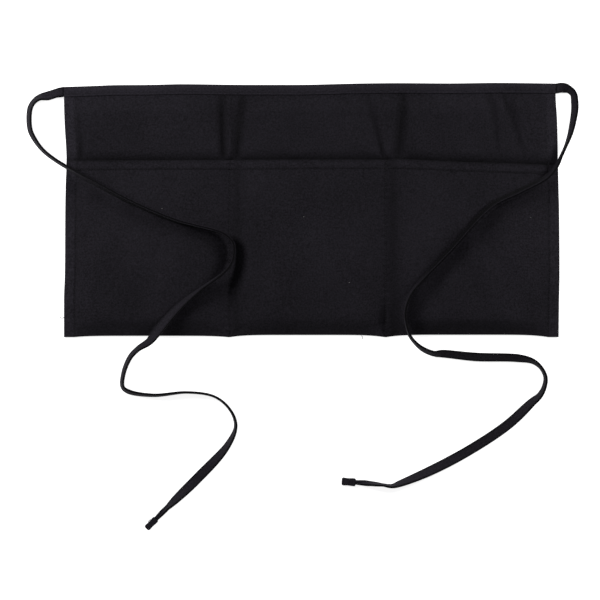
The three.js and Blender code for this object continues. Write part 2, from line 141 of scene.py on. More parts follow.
def settle(distance, reach):
    """1 at zero distance, easing to 0 at the full reach."""
    t = np.clip(distance / reach, 0, 1)
    return 1 - (3 - 2 * t) * t * t


def soft_bump(distance, reach):
    """1 at zero distance, fading out beyond the reach."""
    return np.exp(-(distance / reach) ** 2)


def drawn_in(c, y):
    """Where the cloth at c lies once its sides are drawn in."""
    down = (half_height - y) / apron_height
    inward = np.where(c < 0, left_pull(down), -right_pull(down))
    return c + side_pull * inward * np.abs(c) / half_width


def top_edge(c):
    return half_height - top_sag * top_share((c + half_width) / apron_width)


def band_bottom(c):
    return top_edge(c) - band_width


def level_line(c):
    return band_bottom(c) - band_clear


def panel_top(c):
    return top_edge(c) - cloth - layer_gap


def mouth_line(c):
    return pocket_depth - half_height - mouth_drop * mouth_share((c + half_width) / apron_width)


def puff(c, shares=fullness, power=puff_power):
    """How far the front stands off at c: 0 at a seam, the pocket's share in its middle."""
    total = 0
    for left, right, share in zip(pocket_lefts, pocket_rights, shares):
        sideways = np.minimum(np.abs((2 * c - left - right) / (right - left)), 1)
        total = total + share * (1 - sideways ** power)
    return total


def bottom_edge(c):
    return bottom_tuck * puff(c, tucks, tuck_power) - half_height


def upright_middle(at_band, at_mouth, up):
    """Where the middle of a crease or gutter is at a share of the way up to the waistband."""
    return (at_mouth + (at_band - at_mouth) * up) * apron_width - half_width


def creased(c, y):
    """Height of the upright creases above the mouth."""
    up = (y - mouth_line(c)) / (level_line(c) - mouth_line(c))
    highest = np.zeros(np.broadcast(c, y).shape)
    for at_band, at_mouth, half, height, start, full in creases:
        foot = 1 - settle(up - start, full - start)
        across = settle(np.abs(c - upright_middle(at_band, at_mouth, up)), half * apron_width)
        highest = np.maximum(highest, height * cloth * foot * across)
    inside = (up > 0) & (up < 1)
    return np.where(inside, highest * (1 - settle(level_line(c) - y, band_fade)), 0)


def soft_waves(x, y, across, along, seed):
    """Gentle uneven waves between about -1 and 1, of the given lengths across and along."""
    chance = np.random.default_rng(seed)
    total = 0
    for _ in range(7):
        turn_x = 2 * np.pi / across * chance.uniform(0.6, 1.4) * chance.choice([-1, 1])
        turn_y = 2 * np.pi / along * chance.uniform(0.4, 1.4)
        total = total + np.cos(turn_x * x + turn_y * y + chance.uniform(0, 2 * np.pi))
    return total / 3.6


# Above the mouth the cloth has slack: it stands a little off the surface below the waistband and
# dips in upright gutters beside its creases. A gutter has its place at waistband and mouth and its
# half width, as shares of the width, and its depth at waistband and mouth, as shares of the height
# that the cloth stands off there.
lift_height = 0.006
lift_foot = 0.019
lift_start = 0.0055
lift_head = 0.022
lift_side = 0.022
slack_across = 0.075
slack_along = 0.16
slack_least = 0.82
slack_share = 0.18
gutter_share = 0.94
gutters = [
    (0.318, 0.32, 0.0088, 0.7, 1),
    (0.361, 0.346, 0.0088, 0.7, 1),
    (0.612, 0.646, 0.0055, 0.25, 0.75),
    (0.688, 0.674, 0.0105, 0.8, 1),
    (0.866, 0.876, 0.006, 0.65, 0.1),
    (0.893, 0.93, 0.0065, 0.65, 0.1),
    (0.03, 0.03, 0.0065, 0, 1),
]


def in_gutters(c, y):
    """How deep in a gutter the cloth is, from 0 beside them to 1 in the deepest."""
    up = np.clip((y - mouth_line(c)) / (level_line(c) - mouth_line(c)), 0, 1)
    deepest = 0 * up
    for at_band, at_mouth, half, band_depth, mouth_depth in gutters:
        across = soft_bump(c - upright_middle(at_band, at_mouth, up), half * apron_width)
        depth = mouth_depth + (band_depth - mouth_depth) * up
        deepest = np.maximum(deepest, depth * across)
    return deepest


def lifted(c, y):
    """How far the slack cloth and its creases stand off the surface above the mouth."""
    above = y - mouth_line(c)
    free = (1 - settle(above + lift_start, lift_foot)) * (1 - settle(level_line(c) - y, lift_head))
    free = free * (1 - settle(half_width - np.abs(c), lift_side))
    waves = slack_least + slack_share * np.clip(soft_waves(c, y, slack_across, slack_along, 4), -1, 1)
    height = lift_height * free * waves + creased(c, y)
    return height * (1 - gutter_share * in_gutters(c, y))


def back_top(c, y):
    """Top of the cloth's back layer."""
    band_rest = (cloth + layer_gap) * settle(level_line(c) - y, band_settle)
    hem_rest = hem_turn * settle(hem_inner - np.abs(c), hem_settle)
    return band_rest + hem_rest + lifted(c, y) + cloth


swell_uneven = 0.09
swell_across = 0.06
swell_along = 0.13


def rise(c, up):
    """Free height in a pocket, which swells quickly above the fold."""
    free = fold_rise + (pocket_rise - fold_rise) * swell(up) + (mouth_rise - pocket_rise) * sink(up)
    uneven = 1 + swell_uneven * soft_waves(c, up * pocket_depth, swell_across, swell_along, 9)
    return puff(c) * free * uneven


# Stitch lines, measured from the edge each one follows. A line sinks into the cloth, and the
# cloth beside it puckers.
mouth_stitch = 0.0108
side_stitch = 0.0126
stitch_depth = 0.00022
stitch_spread = 0.0008
pucker_length = 0.0078
pucker_height = 0.00026
pucker_reach = 0.0045
pucker_drift = 1.4
pucker_drift_length = 0.04
mouth_pucker = 0.8
seam_pucker = 2.2


def sunk_line(distance):
    return -stitch_depth * soft_bump(distance, stitch_spread)


def puckers(distance, along, seed):
    drift = pucker_drift * soft_waves(along, 0 * along, pucker_drift_length, 1, seed)
    beat = np.sin(2 * np.pi * along / pucker_length + drift)
    beside = soft_bump(distance, pucker_reach) * (1 - soft_bump(distance, stitch_spread))
    return pucker_height * beat * beside


# Gathers that fan out from the foot of each seam, where the folded edge is sewn through
gather_heights = [0.0009, 0.0003]
gather_count = 9
gather_turn = 0.9
gather_turn_step = 3.9
gather_distance = 0.011
gather_reach = 0.011
fold_flat = 0.004


def gathers(c, y):
    total = 0
    for i, place in enumerate(seam_places):
        across = c - place
        up = y + half_height
        turn = gather_count * np.arctan2(across, up) + gather_turn + gather_turn_step * i
        fan = np.cos(turn) * soft_bump(np.hypot(across, up) - gather_distance, gather_reach)
        total = total + gather_heights[i] * fan * (1 - settle(up, fold_flat))
    return total


def side_relief(c, y):
    """The sunk line of a side hem's stitches and the puckers beside it."""
    distance = half_width - side_stitch - np.abs(c)
    return sunk_line(distance) + puckers(distance, y, 22)


def front_relief(c, y):
    """Sunk stitch lines, the puckers beside them and the gathers, on the pocket front."""
    distance = mouth_line(c) - mouth_stitch - y
    relief = sunk_line(distance) + side_relief(c, y) + mouth_pucker * puckers(distance, c, 21)
    for i, place in enumerate(seam_places):
        relief = relief + sunk_line(c - place) + seam_pucker * puckers(c - place, y, 23 + i)
    return relief + gathers(c, y)


def front_top(c, y, up):
    turned = mouth_hem_turn * settle(mouth_line(c) - mouth_hem_width - y, hem_step)
    return back_top(c, y) + rise(c, up) + cloth + turned + front_relief(c, y)


def underside(c, y):
    turned = hem_turn * settle(hem_inner - np.abs(c), hem_step)
    return back_top(c, y) - cloth - turned


# Columns across the cloth, close together at the edges, hems and seams
column_step = 0.0024
edge_round = 0.0014
near_edge = np.array([0, 0.00008, 0.0003, 0.0006, 0.001, 0.0014])
near_stitch = np.array([
    -0.0022, -0.0016, -0.0011, -0.0007, -0.00035, 0, 0.00035, 0.0007, 0.0011, 0.0016, 0.0022,
])
near_seam = np.array([-0.0055, -0.0038, -0.0026, -0.0018, -0.0012, -0.0007, -0.0003, 0])


def column_places():
    sides_fixed = np.concatenate([near_edge, side_stitch + near_stitch])
    fixed = [-half_width + sides_fixed, half_width - sides_fixed]
    fixed += [place + np.concatenate([near_seam, -near_seam]) for place in seam_places]
    fixed += [np.array([-hem_inner, hem_inner])]
    fixed = np.unique(np.round(np.concatenate(fixed), 6))
    places = [fixed[0]]
    for end in fixed[1:]:
        gap = end - places[-1]
        parts = max(1, math.ceil(gap / column_step - 0.2))
        places += [places[-1] + gap * (n + 1) / parts for n in range(parts)]
    return np.array(places)


def spread(low, high, shares):
    return low + (high - low) * np.asarray(shares)


def turn_points(y, depth, low, high, count):
    """Points round a half turn from low to high that bulges by depth along Y."""
    angle = np.pi * (np.arange(count) + 1) / (count + 1)
    return y + depth * np.sin(angle), (low + high) / 2 - (high - low) / 2 * np.cos(angle)


c = column_places()[:, None]
mouth = mouth_line(c)
bottom = bottom_edge(c)
rim = 0.0004
fold_low = underside(c, bottom)
fold_high = back_top(c, bottom) + rise(c, 0) + cloth
fold_depth = (fold_high - fold_low) / 2
fold_y = bottom + fold_depth


def up_share(y):
    return (y - fold_y) / (mouth - fold_y)


foot_shares = np.linspace(0, 0.1, 12)[:-1]
body_shares = np.linspace(0.1, 1, 82)
hem_drops = np.concatenate([mouth_stitch - near_stitch, [0.0072, 0.0056, 0.0042, 0.003, 0.002, 0.0012]])
lower_rows = spread(fold_y, mouth - 0.0138, np.concatenate([foot_shares, body_shares]))
hem_rows = mouth - np.sort(hem_drops)[::-1]
front_y = np.hstack([lower_rows, hem_rows, mouth - rim])
ceiling_y = spread(mouth - rim, fold_y, np.linspace(0, 1, 26))
floor_y = ceiling_y[:, ::-1]
upper_y = np.hstack([
    spread(mouth, level_line(c), np.linspace(0, 1, 44) ** 1.15),
    spread(level_line(c), panel_top(c), [0.3, 0.65, 1]),
])
under_y = spread(panel_top(c), fold_y, np.linspace(0, 1, 62))

front_z = front_top(c, front_y, up_share(front_y))
ceiling_z = back_top(c, ceiling_y) + rise(c, up_share(ceiling_y))
floor_z = back_top(c, floor_y)
upper_z = back_top(c, upper_y) + side_relief(c, upper_y)
under_z = underside(c, under_y)
outer_turn = turn_points(fold_y, -fold_depth, fold_low, fold_high, 9)
rim_turn = turn_points(mouth - rim, rim, ceiling_z[:, :1], front_z[:, -1:], 5)
inner_turn = turn_points(fold_y, -rise(c, 0) / 2, floor_z[:, :1], ceiling_z[:, -1:], 3)
ring_y = np.hstack([
    under_y, outer_turn[0], front_y, rim_turn[0][:, ::-1], ceiling_y,
    inner_turn[0][:, ::-1], floor_y, upper_y,
])
ring_z = np.hstack([
    under_z, outer_turn[1], front_z, rim_turn[1][:, ::-1], ceiling_z,
    inner_turn[1][:, ::-1], floor_z, upper_z,
])
hollow_start = under_y.shape[1] + 9 + front_y.shape[1] + 5
hollow_end = hollow_start + ceiling_y.shape[1] + 3 + floor_y.shape[1] - 1

# The folded side edges are rounded by closing the layers up towards their middle.
top_there = np.where(ring_y < mouth, front_top(c, ring_y, up_share(ring_y)), back_top(c, ring_y))
middle_z = (top_there + underside(c, ring_y)) / 2
edge_distance = np.clip((half_width - np.abs(c)) / edge_round, 0, 1)
closing = 0.3 + 0.7 * np.sqrt(1 - (1 - edge_distance) ** 2)
ring_z = middle_z + (ring_z - middle_z) * closing


def add_object(name, data):
    made = bpy.data.objects.new(name, data)
    bpy.context.scene.collection.objects.link(made)
    return made


def piece_from(name, corners, faces, material=None):
    """A named mesh object at the origin with smooth faces."""
    mesh = bpy.data.meshes.new(name)
    mesh.from_pydata([tuple(p) for p in corners], [], [tuple(f) for f in faces])
    mesh.polygons.foreach_set("use_smooth", [True] * len(mesh.polygons))
    if material:
        mesh.materials.append(material)
    return add_object(name, mesh)


def weld(made, distance=1e-7):
    """Joins corners that lie on each other."""
    joined = bmesh.new()
    joined.from_mesh(made.data)
    bmesh.ops.remove_doubles(joined, verts=joined.verts, dist=distance)
    bmesh.ops.dissolve_degenerate(joined, edges=joined.edges, dist=distance)
    joined.to_mesh(made.data)
    joined.free()


def rings_of_faces(columns, count, skip=None):
    """Quads that join each ring of corners to the next one."""
    faces = []
    for i in range(columns - 1):
        for k in range(count):
            if skip and skip(i, k):
                continue
            nxt = (k + 1) % count
            faces.append((i * count + k, (i + 1) * count + k, (i + 1) * count + nxt, i * count + nxt))
    return faces


def side_of(ring, indices, flipped):
    """Closes a side with rungs between the underside and the front, upwards from the fold."""
    fold = min(range(len(ring)), key=lambda k: ring[k])
    under = fold - 1
    front = fold
    faces = []
    while under > 0 or front < len(ring) - 1:
        front_done = front == len(ring) - 1
        step_under = front_done or (under > 0 and ring[under - 1] <= ring[front + 1])
        nxt = under - 1 if step_under else front + 1
        face = (indices[under], indices[front], indices[nxt])
        faces.append(face[::-1] if flipped else face)
        if step_under:
            under = nxt
        else:
            front = nxt
    return faces


columns, count = ring_y.shape
ring_x = drawn_in(c, ring_y)
corners = np.stack([ring_x, ring_y, ring_z], axis=-1).reshape(-1, 3)
closed = puff(c[:, 0]) <= 1e-9


def sewn_down(i, k):
    """Whether a face of the hollow lies in a strip that is sewn down, where there is no hollow."""
    return closed[i] and closed[i + 1] and hollow_start <= k < hollow_end


faces = rings_of_faces(columns, count, sewn_down)
side_rows = [k for k in range(count) if k < hollow_start or k >= hollow_end]
for column, flipped in ((0, False), (columns - 1, True)):
    ring = [ring_y[column, k] for k in side_rows]
    faces += side_of(ring, [column * count + k for k in side_rows], flipped)
cloth_body = piece_from("cloth_body", corners, faces)
weld(cloth_body)


def near_black(value):
    """A near black tone, a little towards violet as black cotton is."""
    return (value, value * 0.89, value * 1.19, 1)


def set_inputs(node, values):
    for key, value in values.items():
        node.inputs[key].default_value = value


def add_node(nodes, kind, values):
    node = nodes.new(kind)
    set_inputs(node, values)
    return node


def new_material(name, values):
    """A material with the given values on its shader."""
    material = bpy.data.materials.new(name)
    material.use_nodes = True
    set_inputs(material.node_tree.nodes["Principled BSDF"], values)
    return material


def colour_between(nodes, links, factor, first, second):
    """A colour that runs from the first to the second as the factor runs from 0 to 1."""
    mix = nodes.new("ShaderNodeMix")
    mix.data_type = "RGBA"
    set_inputs(mix, {"A": first, "B": second})
    links.new(factor, mix.inputs["Factor"])
    return mix.outputs["Result"]


rib_pitch = 0.0006
rib_turn = 58


def black_twill(name, dark, light, tone_and_painted_light_gain, coordinates, sheen=0.1):
    """Woven twill: fine diagonal ribs, uneven yarns both ways and a faint mottle."""
    material = new_material(name, {
        "Roughness": 0.9, "Specular IOR Level": 0.1, "Sheen Weight": sheen, "Sheen Roughness": 0.45,
        "Sheen Tint": (0.35, 0.34, 0.38, 1),
    })
    nodes = material.node_tree.nodes
    links = material.node_tree.links
    shader = nodes["Principled BSDF"]
    source = nodes.new("ShaderNodeTexCoord").outputs[coordinates]

    def stretched(scale, turn=0.0):
        turned = (0, 0, math.radians(turn))
        mapping = add_node(nodes, "ShaderNodeMapping", {"Rotation": turned, "Scale": scale})
        links.new(source, mapping.inputs["Vector"])
        return mapping.outputs["Vector"]

    def noise(vector, scale, detail=2.0):
        texture = add_node(nodes, "ShaderNodeTexNoise", {"Scale": scale, "Detail": detail})
        links.new(vector, texture.inputs["Vector"])
        return texture.outputs["Fac"]

    def blend(first, second, share):
        mix = nodes.new("ShaderNodeMix")
        mix.data_type = "FLOAT"
        mix.inputs["Factor"].default_value = share
        links.new(first, mix.inputs["A"])
        links.new(second, mix.inputs["B"])
        return mix.outputs["Result"]

    rib_scale = 2 * math.pi / (20 * rib_pitch)
    ribs = add_node(nodes, "ShaderNodeTexWave", {
        "Scale": rib_scale, "Distortion": 0.6, "Detail": 1.0, "Detail Scale": 0.3,
    })
    links.new(stretched((1, 1, 1), rib_turn), ribs.inputs["Vector"])
    warp = noise(stretched((1, 0.12, 1)), 620)
    weft = noise(stretched((0.12, 1, 1)), 560)
    mottle = noise(source, 11, 4)
    slubs = noise(source, 520, 1)
    fluff = noise(source, 1500, 3)
    weave = blend(ribs.outputs["Fac"], blend(warp, weft, 0.5), 0.55)
    tone = blend(blend(weave, slubs, 0.6), mottle, 0.22)
    spread_tone = add_node(nodes, "ShaderNodeMapRange", {"From Min": 0.32, "From Max": 0.68})
    links.new(tone, spread_tone.inputs["Value"])
    colour = colour_between(nodes, links, spread_tone.outputs["Result"], dark, light)
    # The corners' tone value scales the colour: partly the cloth's own tone, partly painted light and
    # painted shade
    tone_and_painted_light = nodes.new("ShaderNodeAttribute")
    tone_and_painted_light.attribute_name = "tone_and_painted_light"
    gain = nodes.new("ShaderNodeMath")
    gain.operation = "MULTIPLY_ADD"
    set_inputs(gain, {1: tone_and_painted_light_gain, 2: 1.0})
    links.new(tone_and_painted_light.outputs["Fac"], gain.inputs[0])
    painted_colour = nodes.new("ShaderNodeVectorMath")
    painted_colour.operation = "SCALE"
    links.new(colour, painted_colour.inputs[0])
    links.new(gain.outputs["Value"], painted_colour.inputs["Scale"])
    links.new(painted_colour.outputs["Vector"], shader.inputs["Base Color"])
    bump = add_node(nodes, "ShaderNodeBump", {"Strength": 0.55, "Distance": 0.00016})
    links.new(blend(weave, fluff, 0.35), bump.inputs["Height"])
    links.new(bump.outputs["Normal"], shader.inputs["Normal"])
    return material


def set_tone_and_painted_light(made, values):
    """How much lighter the colour is at each corner, or below 0 how much darker: partly the piece's own
    tone, partly painted light and painted shade.
    """
    made.data.attributes.new("tone_and_painted_light", "FLOAT", "POINT").data.foreach_set("value", values)


def corners_of(made):
    found = np.empty(len(made.data.vertices) * 3)
    made.data.vertices.foreach_get("co", found)
    return found.reshape(-1, 3)


apron_twill = black_twill("apron_twill", near_black(0.003), near_black(0.0195), 0.9, "Object")
cloth_body.data.materials.append(apron_twill)
# Where its corners lay before the sides were drawn in
found = corners_of(cloth_body)
found_y = found[:, 1]
found_c = 2 * found[:, 0] - drawn_in(found[:, 0], found_y)
under_mouth = mouth_line(found_c) - found_y
above_mouth = np.clip(-under_mouth, 0, None)
on_front = under_mouth > 0

# Lighter on the side hems and mouth hem, with painted light on the shade where seam 2 meets the fold
on_side_hem = 1 - settle(np.abs(found_c) - (half_width - side_stitch - 0.001), 0.002)
on_mouth_hem = soft_bump(under_mouth - 0.0042, 0.0032)
# Painted light at the foot of seam 2, over the shade of its pinch
from_foot = np.hypot(found_c - seam_places[1] + 0.006, found_y + half_height - 0.007)
base_tone_and_painted_light = 0.4 * on_side_hem + 0.16 * on_mouth_hem * on_front + 0.75 * soft_bump(from_foot, 0.0085)

# Painted shade in the gutters, along the mouth, beside the seams, above the fold and at the stitches
in_gutter = in_gutters(found_c, found_y) * (1 - settle(above_mouth, 0.0015))
along_mouth = (under_mouth < 0.0009) * soft_bump(above_mouth, 0.005)
beside_seam = sum(soft_bump(found_c - place - 0.009, 0.0065) for place in seam_places)
above_fold = soft_bump(found_y + half_height - 0.009, 0.0065) * np.clip(puff(found_c, tucks), 0, 1)
from_stitches = np.min([np.abs(found_c - place) for place in seam_places], axis=0)
from_stitches = np.minimum(from_stitches, np.abs(half_width - side_stitch - np.abs(found_c)))
from_stitches = np.minimum(from_stitches, np.abs(under_mouth - mouth_stitch))
# Painted shade: the darkest of these darkens the colour
painted_shade = np.max([
    0.62 * in_gutter, 0.62 * along_mouth, 0.32 * beside_seam * on_front, 0.26 * above_fold * on_front,
    0.32 * soft_bump(from_stitches, 0.0012) * on_front,
], axis=0)
set_tone_and_painted_light(cloth_body, base_tone_and_painted_light - painted_shade)
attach(cloth_body, "root")
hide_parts("apron_panel")

# The waistband. A strip of the same twill with its edges turned in, folded over the top edge of
# the cloth and stitched down through all layers, close to its lower edge.
band_stitch = 0.0025
band_fold = 0.0018


def band_top(c):
    return back_top(c, band_bottom(c)) + layer_gap + cloth


def band_waves(c):
    """Slight puckers where the strip is stitched down."""
    return 0.00009 * np.sin(2 * np.pi * c / 0.0062 + 1.5 * soft_waves(c, 0 * c, 0.05, 1, 31))


low = band_bottom(c)
high = band_top(c)
crease_y = top_edge(c) - band_fold
edge_steps = [0, 0.00012, 0.0004, 0.0013]
stitch_steps = [band_stitch + d for d in (-0.0007, -0.0003, 0, 0.0003, 0.0007)]
above_stitches = spread(low + 0.0042, crease_y, [0, 0.35, 0.7, 1])
strip_y = np.hstack([low + edge_steps, low + stitch_steps, above_stitches])
eased = np.array([0.00045, 0.00014, 0, 0, 0, 0.00008, 0.00018, 0.00008, 0, 0, 0, 0, 0])
waves = band_waves(c) * np.array([0.6, 0.8, 1, 1, 1, 0.6, 0.3, 0.6, 1, 0.9, 0.6, 0.3, 0])
bulge = 0.00025 * np.array([0, 0, 0, 0, 0, 0, 0, 0, 0.3, 0.8, 1, 0.7, 0])
arc_y, arc_z = turn_points(crease_y, band_fold, 0 * c, high, 7)
outer_y = np.hstack([strip_y, arc_y, strip_y[:, ::-1]])
outer_z = np.hstack([0 * c + eased, arc_z, (high - eased + waves + bulge)[:, ::-1]])
inside_y = panel_top(c) + layer_gap
inner_y = np.minimum(outer_y, inside_y)
inner_z = np.clip(outer_z, cloth, high - cloth)
band_ring_y = np.hstack([outer_y, inner_y[:, ::-1]])
band_ring_z = np.hstack([outer_z, inner_z[:, ::-1]])
columns, count = band_ring_y.shape
corners = np.stack([drawn_in(c, band_ring_y), band_ring_y, band_ring_z], axis=-1).reshape(-1, 3)
faces = [face[::-1] for face in rings_of_faces(columns, count)]
for start, flipped in ((0, True), ((columns - 1) * count, False)):
    for k in range(outer_y.shape[1] - 1):
        face = (start + k, start + k + 1, start + count - 2 - k, start + count - 1 - k)
        faces.append(face[::-1] if flipped else face)
band_twill = black_twill("band_twill", near_black(0.005), near_black(0.022), 0.5, "Object")
band_strip = piece_from("band_strip", corners, faces, band_twill)
found = corners_of(band_strip)
# A lighter strip, with a painted highlight below its top fold and painted shade along the fold
from_top = top_edge(found[:, 0]) - found[:, 1]
base_tone_and_painted_light = 0.35 + 0.45 * settle(np.abs(from_top - 0.0035), 0.003)
# Painted shade along the top fold
set_tone_and_painted_light(band_strip, base_tone_and_painted_light - settle(from_top, 0.0014))
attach(band_strip, "root")
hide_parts("waistband")

# The ties. The folded strip of the waistband runs on at both ends, 12.5 mm wide and stitched
# along its open edge. Each tie lies loosely over the apron and beyond it, mostly on its edge.
tie_width = 0.0125
tie_thickness = 0.0027
tie_exit_height = 0.0022
exit_ease = 0.030
exit_run = 0.060
exit_thickness = 0.0042
exit_thinning = 0.016
bridge = 0.022
neck_length = 0.034
neck_width = 0.0058
neck_thickness = 0.0034
# Where a tie crosses the apron its fold is pushed in, and its two walls stand apart: from and to
# which length along it, and how far
left_open = (0.12, 0.44, 0.5)
right_open = (0.10, 0.37, 1)
open_spread = 0.0013
open_depth = 0.0055
ring_step = 0.0022
# Routes from where a tie leaves the waistband: x and y in millimetres and the roll in degrees, 0
# lying flat and 90 on its edge
left_route = [
    (0, 0, 0), (-9, -2, 30), (-19, -5, 26), (-29, -7, 54), (-36, -12, 61), (-41, -21, 60),
    (-41, -46, 64), (-35, -59, 69), (-25, -72, 75), (-12, -82.5, 77), (3, -92, 77), (40, -113, 71),
    (88, -138, 73), (139, -159, 77), (162, -165, 81), (197, -175, 86), (208, -185, 86),
    (210, -196, 86), (207, -210, 86), (199, -221, 85), (169, -243, 75), (143, -264, 46),
    (116, -294, 16), (106.5, -306.5, 46), (92, -316, 63), (82, -326.5, 66), (74, -346, 70),
    (73, -363, 72), (80, -368.5, 69), (111, -373, 78), (151, -369.5, 85), (181, -373, 85),
    (194.5, -380, 84), (204.5, -390.5, 83), (210.5, -402, 81), (211.5, -414, 78),
    (200.5, -436.5, 54), (165, -475, 0), (127.5, -511.5, 62), (113, -526, 0),
]
right_route = [
    (0, 0, 0), (8, 1, 8), (16, -1.5, 54), (21.5, -7, 60), (23, -17, 55), (23, -27, 56),
    (19, -49.5, 66), (16, -60, 75), (11.5, -71.5, 84), (6, -83.5, 84), (0, -96, 77),
    (-13, -110, 68), (-47, -128, 58), (-80, -145, 55), (-132, -201, 68), (-165, -235, 73),
    (-178, -251, 78), (-184, -265, 83), (-186, -279, 86), (-181, -302, 83), (-173.5, -312.5, 79),
    (-163, -321, 68), (-150, -326, 64), (-139, -326, 44), (-99, -330, 35), (-47, -331.5, 42),
    (-28.5, -335.5, 67), (-18.5, -343.5, 80), (-13, -355, 80), (-14.5, -367, 75), (-20, -377.5, 65),
    (-29, -385.5, 46), (-59.5, -414, 0), (-108, -446, 0), (-157, -471.5, 28), (-192, -486, 60),
    (-202, -489, 78), (-213, -487.5, 85), (-228, -486, 66), (-247.5, -484.5, 0),
]


def front_surface(c, y):
    """Top of the pocket front."""
    fold = bottom_edge(c)
    return front_top(c, y, np.clip((y - fold) / (mouth_line(c) - fold), 0, 1))


def resting_height(x, y):
    """The apron's upper surface, or the surface it lies on outside it."""
    c = np.clip(x, -half_width, half_width)
    height = np.where(y > mouth_line(c), back_top(c, y), front_surface(c, y))
    height = np.where(y > band_bottom(c), band_top(c), height)
    outside = (np.abs(x) > half_width) | (y > top_edge(c)) | (y < -half_height)
    return np.where(outside, 0, height)


def smooth_route(points, at):
    """Places on the centripetal Catmull-Rom curve through the points, at points counted from 0."""
    ends = [2 * points[0] - points[1], 2 * points[-1] - points[-2]]
    held = np.vstack([ends[0], points, ends[1]])
    i = np.minimum(at.astype(int), len(points) - 2)
    t = (at - i)[:, None]
    p0, p1, p2, p3 = (held[i + n] for n in range(4))
    steps = ((p0, p1), (p1, p2), (p2, p3))
    d0, d1, d2 = (np.sqrt(np.linalg.norm(b - a, axis=1))[:, None] for a, b in steps)
    slope1 = ((p1 - p0) / d0 - (p2 - p0) / (d0 + d1) + (p2 - p1) / d1) * d1
    slope2 = ((p2 - p1) / d1 - (p3 - p1) / (d1 + d2) + (p3 - p2) / d2) * d1
    cubic = 2 * p1 - 2 * p2 + slope1 + slope2
    square = -3 * p1 + 3 * p2 - 2 * slope1 - slope2
    return cubic * t ** 3 + square * t ** 2 + slope1 * t + p1


def tie_exit(side):
    c = side * half_width
    reach = max(abs(drawn_in(c, y)) for y in (top_edge(c), band_bottom(c)))
    return np.array([side * (reach + layer_gap), top_edge(c) - band_width / 2, tie_exit_height])


def tie_line(route, side, opened):
    """Middle line, heading, roll, size and opening of a tie at even steps along it."""
    start = tie_exit(side)
    table = np.array(route, dtype=float)
    points = table[:, :2] / 1000 + start[:2]
    fine_at = np.linspace(0, len(route) - 1, (len(route) - 1) * 8 + 1)
    fine = smooth_route(points, fine_at)
    fine_run = np.concatenate([[0], np.cumsum(np.linalg.norm(np.diff(fine, axis=0), axis=1))])
    total = fine_run[-1]
    run = np.linspace(0, total, round(total / ring_step) + 1)
    at = np.interp(run, fine_run, fine_at)
    flat = smooth_route(points, at)
    heading = np.gradient(flat, axis=0)
    heading[0] = (side, 0)
    heading /= np.linalg.norm(heading, axis=1)[:, None]
    sideways = np.stack([-heading[:, 1], heading[:, 0]], axis=1)
    roll = np.radians(np.interp(at, np.arange(len(route)), table[:, 2]))
    spots = [flat + share * tie_width / 2 * sideways for share in (-1, -0.5, 0, 0.5, 1)]
    under = np.max([resting_height(spot[:, 0], spot[:, 1]) for spot in spots], axis=0)
    under[run < exit_run] = 0
    near = np.abs(run[:, None] - run[None, :]) <= bridge
    bridged = np.max(np.where(near, under[None, :], 0), axis=1)
    rest = (near @ bridged) / near.sum(axis=1)
    neck = settle(total - run, neck_length)
    leaving = settle(run, exit_thinning)
    width = tie_width + (neck_width - tie_width) * neck
    thickness = tie_thickness + (neck_thickness - tie_thickness) * neck
    thickness = thickness + (exit_thickness - tie_thickness) * leaving
    tall = (width * np.sin(roll) + thickness * np.cos(roll)) / 2
    height = np.where(rest > 0, rest + layer_gap, 0) + tall
    height = np.maximum(height, tie_exit_height * settle(run, exit_ease))
    centre = np.column_stack([flat, height])
    start, end, share = opened
    opening = share * settle(np.abs(run - (start + end) / 2), (end - start) / 2)
    return {
        "centre": centre, "sideways": sideways, "heading": heading, "roll": roll,
        "width": width, "thickness": thickness, "run": run, "neck": neck, "opening": opening,
    }


def tape_outline(width, thickness, neck, opening):
    """Section of the folded strip: two faces with a sunk stitch line, two meeting edges and a
    round fold, which is pushed in where the tie is open."""
    half = width / 2
    thin = thickness / 2
    top = [(half - thin, thin), (half * 0.45, thin), (0, thin - 0.0006 * neck), (-half * 0.45, thin)]
    top += [(-half + 0.0030, thin), (-half + 0.0023, thin - 0.0002)]
    top += [(-half + 0.0016, thin), (-half + 0.0006, thin)]
    meeting = [(-half + 0.0001, thin * 0.75), (-half, thin * 0.4), (-half + 0.0005, 0)]
    open_edge = meeting + [(a, -b) for a, b in meeting[1::-1]]
    under = [(a, -b) for a, b in top[::-1]]
    fold = []
    for turn, pushed in ((-1.0, 0), (-0.4, opening), (0.4, opening), (1.0, 0)):
        a = half - thin + thin * math.cos(turn) - pushed * open_depth
        b = thin * math.sin(turn) * (1 - 0.8 * pushed)
        fold.append((a, b))
    widening = opening * open_spread / thin
    outline = top + open_edge + under + fold
    return [(a, b * (1 + widening * min(max(a / half, 0), 1))) for a, b in outline]


# The corners of a section that lie in its stitch line, on the one face and on the other
stitch_corner = 5
under_stitch_corner = 15


def tape_corners(line):
    """The corners of every section of a tie, ring by ring."""
    rings = []
    for i in range(len(line["run"])):
        roll = line["roll"][i]
        side = np.array([*line["sideways"][i], 0])
        up = np.array([0, 0, 1])
        across = side * math.cos(roll) + up * math.sin(roll)
        out = -side * math.sin(roll) + up * math.cos(roll)
        size = (line["width"][i], line["thickness"][i], line["neck"][i])
        outline = tape_outline(*size, line["opening"][i])
        rings.append([line["centre"][i] + a * across + b * out for a, b in outline])
    return np.array(rings)


def strip_uv(made, along, around):
    """A map in metres along and around a strip, for its weave."""
    layer = made.data.uv_layers.new(name="strip")
    count = len(around) - 1
    for face in made.data.polygons:
        i, k = divmod(face.index, count)
        places = [(min(i, len(along) - 2), k)] * len(face.loop_indices)
        if i < len(along) - 1:
            places = [(i, k), (i + 1, k), (i + 1, k + 1), (i, k + 1)]
        for loop, (n, m) in zip(face.loop_indices, places):
            layer.data[loop].uv = (along[n], around[m])


